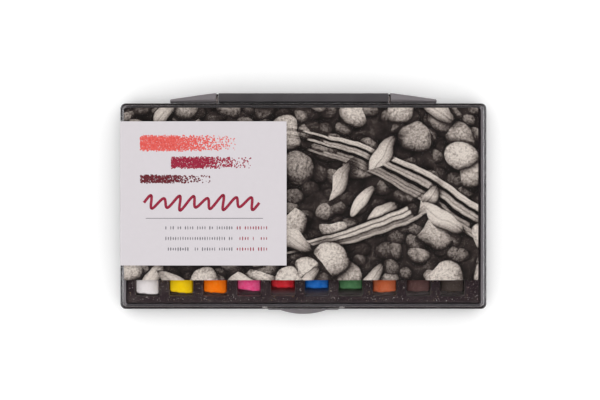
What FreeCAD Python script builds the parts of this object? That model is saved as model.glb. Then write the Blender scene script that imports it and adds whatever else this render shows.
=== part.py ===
import FreeCAD, Part

import math
import os

import Sketcher

# A flat hinged case for ten soft pastel sticks. A clear lid turns on moulded pins behind a dark
# base tray; inside lie a foam pad and a die-cut foam cradle with one slot for each stick. A picture
# card is fixed under the lid's roof and a label is wrapped over the lid's left edge.
# +X runs along the case, +Y points to the hinge, +Z is up. Millimetres.

SIZES = {
    # Case
    "case_width": 200.0,            # outer size along X
    "case_depth": 112.4,            # outer size along Y, without hinge and thumb lip
    "corner_radius": 3.0,           # vertical outer corners
    "cavity_radius": 1.2,           # vertical inner corners
    "wall": 2.5,                    # the tray's; the lid's skirt stands on its outer part
    "base_height": 14.0,            # table to parting line
    "base_floor": 1.6,
    "foot_recess": 0.4,             # underside hollow that leaves a standing ring
    "foot_ring": 4.0,
    "base_edge": 1.0,               # rounding of the bottom edge
    "lid_height": 8.0,              # parting line to top
    "parting_gap": 0.1,             # the lid's rim above the tray's
    "lid_roof": 1.8,
    "lid_edge": 0.8,                # rounding of the top edge
    "roof_fillet": 0.2,             # rounding between roof and skirt, inside
    # Locating lip of the base inside the lid's skirt
    "lip_height": 1.8,
    "lip_thickness": 1.15,
    "lip_gap": 0.15,
    # Hinge
    "axis_setback": 3.4,            # axis behind the back wall's face
    "axis_rise": 1.0,               # axis above the parting line
    "hinge_width": 146.4,
    "wing_end_reach": 2.5,          # how far the block stands out at its two ends
    "wing_corner": 0.8,
    "knuckle_radius": 2.6,
    "block_drop": 9.0,              # parting line down to the block's root
    "block_slope": 3.5,             # rise of the block's underside
    "wing_fall": 0.8,               # slope of the wings' tops towards their ends
    "beam_rise": 1.6,               # flat top of the middle above the axis
    "ear_span": 95.6,               # over the lid's two hinge ears
    "ear_width": 1.0,
    "ear_diameter": 4.2,
    "ear_side_gap": 0.2,
    "foot_width": 4.6,              # gusset between each ear and the lid's back wall
    "foot_reach": 0.45,
    "neck_thickness": 1.8,
    "pin_diameter": 2.2,
    "pin_length": 2.5,
    "pin_gap": 0.05,                # radial running clearance
    "pin_end_gap": 0.4,
    # Snap latch and thumb lip
    "tab_width": 10.0,
    "tab_spacing": 35.0,
    "tab_drop": 4.0,
    "tab_side_gap": 0.2,
    "tab_end_gap": 0.3,             # tabs above the shelf
    "bead_length": 6.0,
    "bead_radius": 0.5,
    "bead_height": 0.3,
    "bead_rise": 1.4,               # bead above the tab's tip
    "bead_gap": 0.1,                # groove around the bead
    "shelf_width": 39.6,
    "shelf_reach": 1.3,
    "shelf_corner": 1.2,
    "shelf_thickness": 2.0,
    "thumb_width": 24.4,            # where the thumb's arc leaves the shelf's edge
    "thumb_reach": 3.3,
    "thumb_thickness": 5.2,
    # Foam
    "foam_gap": 0.3,                # to the case's walls
    "pad_thickness": 3.0,
    "cradle_thickness": 10.0,
    # Sticks and their slots
    "stick_count": 10,
    "stick_diameter": 13.0,
    "stick_gap": 0.15,              # stick to foam
    "stick_play": 4.6,              # slot longer than the stick
    "first_setback": 0.5,           # slot's front end to the foremost stick
    "slot_front_margin": 4.35,      # front wall to the slots
    "slot_back_margin": 9.5,
    "slot_left_margin": 4.95,       # side walls to the outermost slots
    "slot_right_margin": 8.8,
    "slot_corner": 1.0,
    "stick_edge": 0.5,              # worn edge of the moulded end
    "break_edge": 0.7,              # worn edge of the broken end
    "break_depth": 1.0,
    # Picture card and label
    "card_left_gap": 0.7,           # to the lid's skirt
    "card_right_gap": 3.2,
    "card_back_gap": 1.2,
    "card_depth": 94.3,
    "card_thickness": 0.35,
    "card_roof_gap": 0.1,           # dabs of adhesive
    "card_corner": 1.2,
    "label_width": 90.8,
    "label_depth": 78.7,
    "label_front": 23.8,            # front face of the case to the label
    "label_drop": 5.5,              # how far it reaches down the left skirt
    "label_thickness": 0.12,
    "label_gap": 0.02,              # film of adhesive
    "label_corner": 1.5,
}

# Each stick, left to right: how far its front end lies behind the foremost one, and how much
# further its broken end reaches on the left than on the right.
STICKS = {
    "white": (0.0, -0.9),
    "yellow": (0.55, -1.1),
    "orange": (0.65, -0.5),
    "pink": (1.9, -1.2),
    "red": (3.5, -0.5),
    "blue": (3.05, -0.2),
    "green": (2.8, 0.2),
    "terracotta": (1.05, 0.2),
    "brown": (1.25, 0.3),
    "black": (1.0, -0.3),
}

# Places that follow from the sizes.
LAYOUT = {
    "cavity_width": "Sizes.case_width - 2 * Sizes.wall",
    "cavity_depth": "Sizes.case_depth - 2 * Sizes.wall",
    "back_face": "Sizes.case_depth / 2",
    "skirt": "Sizes.wall - Sizes.lip_thickness - Sizes.lip_gap",
    "lid_room_width": "Sizes.case_width - 2 * (Sizes.wall - Sizes.lip_thickness - Sizes.lip_gap)",
    "lid_room_depth": "Sizes.case_depth - 2 * (Sizes.wall - Sizes.lip_thickness - Sizes.lip_gap)",
    "lid_bottom": "Sizes.base_height + Sizes.parting_gap",
    "lid_top": "Sizes.base_height + Sizes.lid_height",
    "roof_under": "Sizes.base_height + Sizes.lid_height - Sizes.lid_roof",
    "axis_back": "Sizes.case_depth / 2 + Sizes.axis_setback",
    "axis_height": "Sizes.base_height + Sizes.axis_rise",
    "block_reach": "Sizes.axis_setback + Sizes.knuckle_radius",
    "tab_tip": "Sizes.base_height - Sizes.tab_drop",
    "recess_face": "Sizes.case_depth / 2 - Sizes.wall + Sizes.lip_thickness",
    "bead_centre": "Sizes.case_depth / 2 - Sizes.wall + Sizes.lip_thickness"
                   " + Sizes.bead_height - Sizes.bead_radius",
    "shelf_top": "Sizes.base_height - Sizes.tab_drop - Sizes.tab_end_gap",
    "cradle_bottom": "Sizes.base_floor + Sizes.pad_thickness",
    "stick_height": "Sizes.base_floor + Sizes.pad_thickness + Sizes.stick_gap"
                    " + Sizes.stick_diameter / 2",
    "slot_front": "Sizes.wall + Sizes.slot_front_margin - Sizes.case_depth / 2",
    "slot_length": "Sizes.case_depth - 2 * Sizes.wall - Sizes.slot_front_margin"
                   " - Sizes.slot_back_margin",
    "stick_length": "Sizes.case_depth - 2 * Sizes.wall - Sizes.slot_front_margin"
                    " - Sizes.slot_back_margin - Sizes.stick_play",
    "slot_width": "Sizes.stick_diameter + 2 * Sizes.stick_gap",
    "slot_span": "Sizes.case_width - 2 * Sizes.wall - Sizes.slot_left_margin"
                 " - Sizes.slot_right_margin - Sizes.stick_diameter - 2 * Sizes.stick_gap",
    "slot_row_middle": "(Sizes.slot_left_margin - Sizes.slot_right_margin) / 2",
    # The part's origin is the middle of its own outline, on the table.
    "shift_right": "(Sizes.label_thickness + Sizes.label_gap) / 2",
    "shift_back": "(Sizes.thumb_reach - Sizes.axis_setback - Sizes.knuckle_radius) / 2",
}

doc = FreeCAD.newDocument("PastelCase")


# ---------------------------------------------------------------- sheet and layout

def make_sheet():
    """Fill the spreadsheet with the driving sizes, one alias for each."""
    sheet = doc.addObject("Spreadsheet::Sheet", "Sizes")
    cells = dict(SIZES)
    for colour, (setback, slant) in STICKS.items():
        cells[colour + "_setback"] = setback
        cells[colour + "_slant"] = slant
    for row, (alias, value) in enumerate(cells.items(), start=1):
        sheet.set(f"A{row}", alias.replace("_", " "))
        sheet.set(f"B{row}", str(value))
        sheet.setAlias(f"B{row}", alias)
    return sheet


def make_layout():
    """Bind the derived places to the sheet."""
    layout = doc.addObject("App::VarSet", "Layout")
    for name, expression in LAYOUT.items():
        layout.addProperty("App::PropertyFloat", name, "Places")
        layout.setExpression(name, expression)
    return layout


sheet = make_sheet()
doc.recompute()
layout = make_layout()
doc.recompute()


# ---------------------------------------------------------------- drawing helpers

def value(expression):
    """What an expression over the sheet and the layout comes to now."""
    return float(sheet.evalExpression(expression))


def new_body(label):
    """A body in the part's frame, named after the piece."""
    body = doc.addObject("PartDesign::Body", label)
    body.Label = label
    body.setExpression("Placement.Base.x", "Layout.shift_right")
    body.setExpression("Placement.Base.y", "Layout.shift_back")
    return body


def origin_feature(body, role):
    """One of the body's own origin planes or axes."""
    return next(item for item in body.Origin.OriginFeatures if item.Role == role)


def new_sketch(body, name, plane, x="0", y="0", height="0"):
    """A sketch on an origin plane, moved in the plane by x and y and off it by height."""
    sketch = body.newObject("Sketcher::SketchObject", name)
    sketch.AttachmentSupport = [(origin_feature(body, plane), "")]
    sketch.MapMode = "FlatFace"
    for axis, expression in (("x", x), ("y", y), ("z", height)):
        sketch.setExpression(f"AttachmentOffset.Base.{axis}", expression)
    return sketch


def place_point(sketch, geometry, end, axis, expression, name):
    """Hold one coordinate of a point at an expression, measured from the sketch's origin."""
    if expression == "0":
        other_axis = -2 if axis == "X" else -1
        sketch.addConstraint(Sketcher.Constraint("PointOnObject", geometry, end, other_axis))
        return
    distance = Sketcher.Constraint("Distance" + axis, -1, 1, geometry, end, value(expression))
    sketch.renameConstraint(sketch.addConstraint(distance), name)
    sketch.setExpression("Constraints." + name, expression)


def draw_outline(sketch, corners):
    """Draw a closed outline through corners (x, y). A corner that starts an arc also gives the
    arc's centre and its turn, +1 for anticlockwise: (x, y, centre x, centre y, turn)."""
    points = [FreeCAD.Vector(value(corner[0]), value(corner[1]), 0) for corner in corners]
    joints = []
    for number, corner in enumerate(corners):
        start = points[number]
        end = points[(number + 1) % len(points)]
        if len(corner) == 2:
            edge = sketch.addGeometry(Part.LineSegment(start, end))
            joints.append((edge, 1, 2))
        else:
            joints.append(draw_arc(sketch, start, end, corner, number))
    for number, corner in enumerate(corners):
        edge, first, last = joints[number]
        next_edge, next_first, next_last = joints[(number + 1) % len(joints)]
        sketch.addConstraint(Sketcher.Constraint("Coincident", edge, last, next_edge, next_first))
        place_point(sketch, edge, first, "X", corner[0], f"x{number}")
        place_point(sketch, edge, first, "Y", corner[1], f"y{number}")


def draw_arc(sketch, start, end, corner, number):
    """An arc from start to end. Its centre is held across the chord, which fixes the radius."""
    centre = FreeCAD.Vector(value(corner[2]), value(corner[3]), 0)
    from_point, to_point = (start, end) if corner[4] > 0 else (end, start)
    first, last = (math.atan2(point.y - centre.y, point.x - centre.x)
                   for point in (from_point, to_point))
    circle = Part.Circle(centre, FreeCAD.Vector(0, 0, 1), (start - centre).Length)
    edge = sketch.addGeometry(Part.ArcOfCircle(circle, first, last))
    chord = end - start
    if abs(chord.x) > abs(chord.y):
        place_point(sketch, edge, 3, "Y", corner[3], f"centre{number}")
    else:
        place_point(sketch, edge, 3, "X", corner[2], f"centre{number}")
    return (edge, 1, 2) if corner[4] > 0 else (edge, 2, 1)


def draw_rounded_rectangle(sketch, width, depth, corner):
    """Draw a rectangle with round corners about the sketch's origin."""
    half_x = value(width) / 2
    half_y = value(depth) / 2
    radius = value(corner)
    quarter = math.pi / 2
    edges = []
    for turn, (sign_x, sign_y) in enumerate(((1, -1), (1, 1), (-1, 1), (-1, -1))):
        centre = FreeCAD.Vector(sign_x * (half_x - radius), sign_y * (half_y - radius), 0)
        circle = Part.Circle(centre, FreeCAD.Vector(0, 0, 1), radius)
        arc = Part.ArcOfCircle(circle, (turn - 1) * quarter, turn * quarter)
        edges.append(sketch.addGeometry(arc))
        next_x, next_y = ((1, 1), (-1, 1), (-1, -1), (1, -1))[turn]
        next_centre = FreeCAD.Vector(next_x * (half_x - radius), next_y * (half_y - radius), 0)
        outward = FreeCAD.Vector(math.cos(turn * quarter), math.sin(turn * quarter), 0) * radius
        edges.append(sketch.addGeometry(Part.LineSegment(centre + outward, next_centre + outward)))
    for number, edge in enumerate(edges):
        next_edge = edges[(number + 1) % len(edges)]
        sketch.addConstraint(Sketcher.Constraint("Tangent", edge, 2, next_edge, 1))
    for arc in edges[2::2]:
        sketch.addConstraint(Sketcher.Constraint("Equal", edges[0], arc))
    right, top, left, bottom = edges[1::2]
    sketch.addConstraint(Sketcher.Constraint("Horizontal", top))
    sketch.addConstraint(Sketcher.Constraint("Vertical", left))
    sketch.addConstraint(Sketcher.Constraint("Symmetric", bottom, 1, bottom, 2, -2))
    sketch.addConstraint(Sketcher.Constraint("Symmetric", right, 1, right, 2, -1))
    for name, constraint, expression in (
        ("width", Sketcher.Constraint("DistanceX", left, 1, right, 1, 2 * half_x), width),
        ("depth", Sketcher.Constraint("DistanceY", bottom, 1, top, 1, 2 * half_y), depth),
        ("corner", Sketcher.Constraint("Radius", edges[0], radius), corner),
    ):
        sketch.renameConstraint(sketch.addConstraint(constraint), name)
        sketch.setExpression("Constraints." + name, expression)


def draw_circle(sketch, x, y, diameter):
    """Draw a circle about the point x, y."""
    centre = FreeCAD.Vector(value(x), value(y), 0)
    circle = Part.Circle(centre, FreeCAD.Vector(0, 0, 1), value(diameter) / 2)
    edge = sketch.addGeometry(circle)
    place_point(sketch, edge, 3, "X", x, "x")
    place_point(sketch, edge, 3, "Y", y, "y")
    width = Sketcher.Constraint("Diameter", edge, value(diameter))
    sketch.renameConstraint(sketch.addConstraint(width), "diameter")
    sketch.setExpression("Constraints.diameter", diameter)


def pad(body, sketch, name, length, both_ways=False):
    """Add material off a sketch, along its normal or to both sides."""
    feature = body.newObject("PartDesign::Pad", name)
    feature.Profile = sketch
    feature.SideType = "Symmetric" if both_ways else "One side"
    feature.setExpression("Length", length)
    sketch.Visibility = False
    doc.recompute()
    return feature


def pocket(body, sketch, name, length, upward=False, both_ways=False):
    """Take material away off a sketch: against its normal, along it or to both sides."""
    before = body.Shape.Volume
    feature = body.newObject("PartDesign::Pocket", name)
    feature.Profile = sketch
    feature.Reversed = upward
    feature.SideType = "Symmetric" if both_ways else "One side"
    feature.setExpression("Length", length)
    sketch.Visibility = False
    doc.recompute()
    if body.Shape.Volume >= before:
        raise RuntimeError(f"{name} in {body.Label} takes nothing away")
    return feature


def mirror(body, name, features):
    """Repeat features on the other side of the middle of the case."""
    feature = body.newObject("PartDesign::Mirrored", name)
    feature.Originals = features
    feature.MirrorPlane = (origin_feature(body, "YZ_Plane"), [""])
    body.Tip = feature
    doc.recompute()
    return feature


def fillet(body, name, radius, chosen):
    """Round the edges for which chosen(edge) is true."""
    base = body.Tip
    edges = [f"Edge{n}" for n, edge in enumerate(base.Shape.Edges, start=1) if chosen(edge)]
    feature = body.newObject("PartDesign::Fillet", name)
    feature.Base = (base, edges)
    feature.setExpression("Radius", radius)
    doc.recompute()
    return feature


def lies_at(edge, expression, axis="z"):
    """Whether a whole edge lies at one height, or at one x or y in the body's frame."""
    box = edge.BoundBox
    low = getattr(box, axis.upper() + "Min")
    high = getattr(box, axis.upper() + "Max")
    target = value(expression)
    return abs(low - target) < 0.001 and abs(high - target) < 0.001


# ---------------------------------------------------------------- base tray

def make_base_tray():
    """The opaque tray: box with locating lip, hinge block, latch recesses and thumb lip."""
    body = new_body("base_tray")
    plan = new_sketch(body, "TrayPlan", "XY_Plane")
    draw_rounded_rectangle(plan, "Sizes.case_width", "Sizes.case_depth", "Sizes.corner_radius")
    pad(body, plan, "TrayBlock", "Sizes.base_height")
    fillet(body, "TrayBottomEdge", "Sizes.base_edge", lambda edge: lies_at(edge, "0"))
    add_locating_lip(body)
    add_hinge_block(body)
    cavity = new_sketch(body, "TrayCavityPlan", "XY_Plane", height="Sizes.base_floor")
    draw_rounded_rectangle(cavity, "Layout.cavity_width", "Layout.cavity_depth",
                           "Sizes.cavity_radius")
    pocket(body, cavity, "TrayCavity", "Sizes.base_height + Sizes.lip_height", upward=True)
    foot = new_sketch(body, "FootPlan", "XY_Plane")
    draw_rounded_rectangle(foot, "Sizes.case_width - 2 * Sizes.foot_ring",
                           "Sizes.case_depth - 2 * Sizes.foot_ring", "Sizes.corner_radius")
    pocket(body, foot, "FootRecess", "Sizes.foot_recess", upward=True)
    add_latch_recesses(body)
    add_thumb_lip(body)
    return body


def add_locating_lip(body):
    """The thinner rim that stands inside the lid's skirt."""
    lip = new_sketch(body, "LipPlan", "XY_Plane", height="Sizes.base_height")
    inset = "2 * (Sizes.wall - Sizes.lip_thickness)"
    draw_rounded_rectangle(lip, f"Sizes.case_width - {inset}", f"Sizes.case_depth - {inset}",
                           "Sizes.cavity_radius + Sizes.lip_thickness")
    pad(body, lip, "LocatingLip", "Sizes.lip_height")


def add_hinge_block(body):
    """A block behind the back wall: a flat-topped beam between two open slots for the lid's ears,
    and two round-topped wings that taper and slope, each with a blind hole for an ear's pin."""
    side = new_sketch(body, "HingeSide", "YZ_Plane")
    root = "Layout.back_face - Sizes.wall / 2"
    foot = "Sizes.base_height - Sizes.block_drop"
    reach = "Layout.back_face + Layout.block_reach"
    front = "Layout.axis_back - Sizes.knuckle_radius"
    draw_outline(side, [
        (root, foot),
        (reach, f"{foot} + Sizes.block_slope"),
        (reach, "Layout.axis_height", "Layout.axis_back", "Layout.axis_height", 1),
        (front, "Layout.axis_height"),
        (front, "Sizes.base_height"),
        (root, "Sizes.base_height"),
    ])
    pad(body, side, "HingeBlock", "Sizes.hinge_width", both_ways=True)

    taper = new_sketch(body, "WingTaperPlan", "XY_Plane", height=foot)
    inner = "Sizes.ear_span / 2 + Sizes.ear_side_gap"
    end = "Sizes.hinge_width / 2"
    end_reach = "Layout.back_face + Sizes.wing_end_reach"
    corner_x = f"{end} - Sizes.wing_corner"
    corner_y = f"{end_reach} - Sizes.wing_corner"
    draw_outline(taper, [
        (inner, reach),
        (corner_x, end_reach, corner_x, corner_y, -1),
        (end, corner_y),
        (f"{end} + Sizes.wall", corner_y),
        (f"{end} + Sizes.wall", f"{reach} + Sizes.wall"),
        (inner, f"{reach} + Sizes.wall"),
    ])
    wing = pocket(body, taper, "WingTaper", "Sizes.block_drop + Sizes.lid_height", upward=True)
    slope = new_sketch(body, "WingSlopeFace", "XZ_Plane", height="-Layout.back_face")
    top = "Layout.axis_height + Sizes.knuckle_radius"
    draw_outline(slope, [
        (inner, top),
        (end, f"{top} - Sizes.wing_fall"),
        (f"{end} + Sizes.wall", f"{top} - Sizes.wing_fall"),
        (f"{end} + Sizes.wall", f"{top} + Sizes.wall"),
        (inner, f"{top} + Sizes.wall"),
    ])
    fall = pocket(body, slope, "WingSlope", "Layout.block_reach + Sizes.wall")
    mirror(body, "Wings", [wing, fall])

    middle = new_sketch(body, "BeamTopSide", "YZ_Plane")
    beam_top = "Layout.axis_height + Sizes.beam_rise"
    draw_outline(middle, [
        ("Layout.back_face", beam_top),
        (f"{reach} + Sizes.wall", beam_top),
        (f"{reach} + Sizes.wall", "Layout.lid_top"),
        ("Layout.back_face", "Layout.lid_top"),
    ])
    pocket(body, middle, "BeamTop", f"2 * ({inner})", both_ways=True)

    slot = new_sketch(body, "EarSlotSide", "YZ_Plane",
                      height="Sizes.ear_span / 2 - Sizes.ear_width - Sizes.ear_side_gap")
    draw_outline(slot, [
        ("Layout.back_face", "0"),
        (f"{reach} + Sizes.wall", "0"),
        (f"{reach} + Sizes.wall", "Layout.lid_top"),
        ("Layout.back_face", "Layout.lid_top"),
    ])
    cut = pocket(body, slot, "EarSlot", "Sizes.ear_width + 2 * Sizes.ear_side_gap", upward=True)
    hole = new_sketch(body, "PinHole", "YZ_Plane", height=inner)
    draw_circle(hole, "Layout.axis_back", "Layout.axis_height",
                "Sizes.pin_diameter + 2 * Sizes.pin_gap")
    bore = pocket(body, hole, "PinBore", "Sizes.pin_length - Sizes.ear_side_gap"
                  " + Sizes.pin_end_gap", upward=True)
    mirror(body, "EarSlots", [cut, bore])


def add_thumb_lip(body):
    """A long low shelf that closes the grooves under the tabs, with a deeper and thicker arched
    lip for the thumb in its middle."""
    bottom = "Layout.shelf_top - Sizes.shelf_thickness"
    wall_middle = "Sizes.lip_thickness / 2 - Layout.recess_face"
    edge = "-Layout.back_face - Sizes.shelf_reach"
    shelf = new_sketch(body, "ShelfPlan", "XY_Plane", height=bottom)
    half = "Sizes.shelf_width / 2"
    turn_x = f"{half} - Sizes.shelf_corner"
    turn_y = f"{edge} + Sizes.shelf_corner"
    draw_outline(shelf, [
        (f"-{half}", wall_middle),
        (f"-{half}", turn_y, f"-({turn_x})", turn_y, 1),
        (f"-({turn_x})", edge),
        (turn_x, edge, turn_x, turn_y, 1),
        (half, turn_y),
        (half, wall_middle),
    ])
    pad(body, shelf, "ShelfLip", "Sizes.shelf_thickness")
    thumb = new_sketch(body, "ThumbPlan", "XY_Plane", height=bottom)
    half = "Sizes.thumb_width / 2"
    rise = "(Sizes.thumb_reach - Sizes.shelf_reach)"
    radius = f"({half} * {half} + {rise} * {rise}) / (2 * {rise})"
    draw_outline(thumb, [
        (f"-{half}", wall_middle),
        (f"-{half}", edge, "0", f"{radius} - Layout.back_face - Sizes.thumb_reach", 1),
        (half, edge),
        (half, wall_middle),
    ])
    pad(body, thumb, "ThumbLip", "Sizes.thumb_thickness")


def add_latch_recesses(body):
    """Two shallow grooves down the wall for the lid's tabs, each with a snap bead on its face."""
    recess = new_sketch(body, "RecessPlan", "XY_Plane", x="Sizes.tab_spacing / 2")
    half = "Sizes.tab_width / 2 + Sizes.tab_side_gap"
    outside = "-Layout.back_face - Sizes.shelf_reach"
    draw_outline(recess, [
        (f"-({half})", outside),
        (half, outside),
        (half, "-Layout.recess_face"),
        (f"-({half})", "-Layout.recess_face"),
    ])
    cut = pocket(body, recess, "LatchRecess", "Sizes.base_height", upward=True)
    ridge = new_sketch(body, "BeadSide", "YZ_Plane", height="Sizes.tab_spacing / 2")
    draw_circle(ridge, "-Layout.bead_centre", "Layout.tab_tip + Sizes.bead_rise",
                "2 * Sizes.bead_radius")
    bead = pad(body, ridge, "LatchBead", "Sizes.bead_length", both_ways=True)
    mirror(body, "LatchRecesses", [cut, bead])


# ---------------------------------------------------------------- lid

def make_lid():
    """The clear cover: a shallow box whose skirt stands round the tray's locating lip, with hinge
    ears and pins at the back and latch tabs at the front."""
    body = new_body("lid")
    plan = new_sketch(body, "LidPlan", "XY_Plane", height="Layout.lid_bottom")
    draw_rounded_rectangle(plan, "Sizes.case_width", "Sizes.case_depth", "Sizes.corner_radius")
    pad(body, plan, "LidBlock", "Sizes.lid_height - Sizes.parting_gap")
    fillet(body, "LidTopEdge", "Sizes.lid_edge", lambda edge: lies_at(edge, "Layout.lid_top"))
    add_hinge_ears(body)
    cavity = new_sketch(body, "LidCavityPlan", "XY_Plane", height="Layout.lid_bottom")
    draw_rounded_rectangle(cavity, "Layout.lid_room_width", "Layout.lid_room_depth",
                           "Sizes.cavity_radius + Sizes.lip_thickness + Sizes.lip_gap")
    pocket(body, cavity, "LidCavity", "Layout.roof_under - Layout.lid_bottom", upward=True)
    fillet(body, "RoofFillet", "Sizes.roof_fillet",
           lambda edge: lies_at(edge, "Layout.roof_under"))
    add_latch_tabs(body)
    return body


def add_hinge_ears(body):
    """Two ears off the back wall: each a gusseted neck with a round eye and an outward pin."""
    start = "Sizes.ear_span / 2 - Sizes.ear_width"
    neck = new_sketch(body, "NeckSide", "YZ_Plane", height=start)
    low = "Layout.axis_height - Sizes.neck_thickness / 2"
    high = "Layout.axis_height + Sizes.neck_thickness / 2"
    wall_middle = "Layout.back_face - Layout.skirt / 2"
    draw_outline(neck, [
        (wall_middle, low),
        ("Layout.axis_back", low),
        ("Layout.axis_back", high),
        (wall_middle, high),
    ])
    arm = pad(body, neck, "EarNeck", "Sizes.ear_width")
    gusset = new_sketch(body, "FootSide", "YZ_Plane",
                        height="Sizes.ear_span / 2 - Sizes.foot_width")
    face = "Layout.back_face + Sizes.foot_reach"
    draw_outline(gusset, [
        (wall_middle, low),
        (face, low),
        (face, high),
        (wall_middle, high),
    ])
    foot = pad(body, gusset, "EarFoot", "Sizes.foot_width")
    eye = new_sketch(body, "EyeSide", "YZ_Plane", height=start)
    draw_circle(eye, "Layout.axis_back", "Layout.axis_height", "Sizes.ear_diameter")
    ring = pad(body, eye, "EarEye", "Sizes.ear_width")
    pin = new_sketch(body, "PinSide", "YZ_Plane", height="Sizes.ear_span / 2")
    draw_circle(pin, "Layout.axis_back", "Layout.axis_height", "Sizes.pin_diameter")
    stub = pad(body, pin, "HingePin", "Sizes.pin_length")
    mirror(body, "HingeEars", [arm, foot, ring, stub])


def add_latch_tabs(body):
    """Two tabs that continue the skirt down into the base's recesses, grooved for the beads."""
    plan = new_sketch(body, "TabPlan", "XY_Plane", x="Sizes.tab_spacing / 2",
                      height="Layout.tab_tip")
    half = "Sizes.tab_width / 2"
    draw_outline(plan, [
        (f"-{half}", "-Layout.back_face"),
        (half, "-Layout.back_face"),
        (half, "Layout.skirt - Layout.back_face"),
        (f"-{half}", "Layout.skirt - Layout.back_face"),
    ])
    tab = pad(body, plan, "LatchTab", "Sizes.tab_drop + Sizes.lip_height")
    groove = new_sketch(body, "GrooveSide", "YZ_Plane", height="Sizes.tab_spacing / 2")
    draw_circle(groove, "-Layout.bead_centre", "Layout.tab_tip + Sizes.bead_rise",
                "2 * (Sizes.bead_radius + Sizes.bead_gap)")
    cut = pocket(body, groove, "BeadGroove", "Sizes.bead_length + 2 * Sizes.tab_side_gap",
                 both_ways=True)
    mirror(body, "LatchTabs", [tab, cut])


# ---------------------------------------------------------------- foam

def make_foam_pad():
    """The plain foam sheet on the tray's floor."""
    body = new_body("foam_pad")
    plan = new_sketch(body, "PadPlan", "XY_Plane", height="Sizes.base_floor")
    draw_foam_rectangle(plan)
    pad(body, plan, "PadSheet", "Sizes.pad_thickness")
    return body


def make_foam_cradle():
    """The die-cut foam sheet with one slot for each stick."""
    body = new_body("foam_cradle")
    plan = new_sketch(body, "CradlePlan", "XY_Plane", height="Layout.cradle_bottom")
    draw_foam_rectangle(plan)
    pad(body, plan, "CradleSheet", "Sizes.cradle_thickness")
    slot = new_sketch(body, "SlotPlan", "XY_Plane",
                      x="Layout.slot_row_middle - Layout.slot_span / 2",
                      y="Layout.slot_front + Layout.slot_length / 2",
                      height="Layout.cradle_bottom")
    draw_rounded_rectangle(slot, "Layout.slot_width", "Layout.slot_length", "Sizes.slot_corner")
    cut = pocket(body, slot, "StickSlot", "Sizes.cradle_thickness", upward=True)
    row = body.newObject("PartDesign::LinearPattern", "StickSlots")
    row.Originals = [cut]
    row.Direction = (origin_feature(body, "X_Axis"), [""])
    row.setExpression("Length", "Layout.slot_span")
    row.setExpression("Occurrences", "Sizes.stick_count")
    body.Tip = row
    doc.recompute()
    return body


def draw_foam_rectangle(sketch):
    """The outline of both foam sheets, just clear of the tray's walls."""
    draw_rounded_rectangle(sketch, "Layout.cavity_width - 2 * Sizes.foam_gap",
                           "Layout.cavity_depth - 2 * Sizes.foam_gap", "Sizes.cavity_radius")


# ---------------------------------------------------------------- sticks

def make_stick(number, colour):
    """A round stick lying along Y: worn moulded end at the back, slanting break at the front."""
    body = new_body("pastel_" + colour)
    body.setExpression("Placement.Base.x", "Layout.shift_right + Layout.slot_row_middle"
                       f" + Layout.slot_span * ({number} / (Sizes.stick_count - 1) - 0.5)")
    body.setExpression("Placement.Base.y", "Layout.shift_back + Layout.slot_front"
                       f" + Sizes.first_setback + Sizes.{colour}_setback")
    body.setExpression("Placement.Base.z", "Layout.stick_height")
    side = new_sketch(body, "StickSide", "YZ_Plane")
    radius = "Sizes.stick_diameter / 2"
    draw_outline(side, [
        ("-Sizes.break_depth", "0"),
        ("Layout.stick_length", "0"),
        ("Layout.stick_length", f"{radius} - Sizes.stick_edge"),
        ("Layout.stick_length - Sizes.stick_edge", radius),
        ("-Sizes.break_depth", radius),
    ])
    turned = body.newObject("PartDesign::Revolution", "TurnedStick")
    turned.Profile = side
    turned.ReferenceAxis = (origin_feature(body, "Y_Axis"), [""])
    turned.Angle = 360.0
    side.Visibility = False
    doc.recompute()
    break_front_end(body, f"Sizes.{colour}_slant")
    return body


def break_front_end(body, slant):
    """Cut the front end on a slant whose foremost point lies at y = 0, and wear its edge."""
    plan = new_sketch(body, "BreakPlan", "XY_Plane")
    draw_outline(plan, [
        ("-Sizes.stick_diameter", "-2 * Sizes.break_depth"),
        ("Sizes.stick_diameter", "-2 * Sizes.break_depth"),
        ("Sizes.stick_diameter", f"abs({slant}) / 2 + {slant}"),
        ("-Sizes.stick_diameter", f"abs({slant}) / 2 - {slant}"),
    ])
    cut = pocket(body, plan, "Break", "2 * Sizes.stick_diameter", both_ways=True)
    rim = [f"Edge{n}" for n, edge in enumerate(cut.Shape.Edges, start=1)
           if edge.BoundBox.YMax < value(f"abs({slant}) + Sizes.break_depth")]
    worn = body.newObject("PartDesign::Chamfer", "WornBreak")
    worn.Base = (cut, rim)
    worn.setExpression("Size", "Sizes.break_edge")
    doc.recompute()


# ---------------------------------------------------------------- card and label

def make_picture_card():
    """The card fixed under the lid's roof, towards its back left corner."""
    body = new_body("picture_card")
    plan = new_sketch(body, "CardPlan", "XY_Plane",
                      x="(Sizes.card_left_gap - Sizes.card_right_gap) / 2",
                      y="(Layout.lid_room_depth - Sizes.card_depth) / 2 - Sizes.card_back_gap",
                      height="Layout.roof_under - Sizes.card_roof_gap - Sizes.card_thickness")
    draw_rounded_rectangle(plan, "Layout.lid_room_width - Sizes.card_left_gap"
                           " - Sizes.card_right_gap", "Sizes.card_depth", "Sizes.card_corner")
    pad(body, plan, "CardSheet", "Sizes.card_thickness")
    return body


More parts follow.
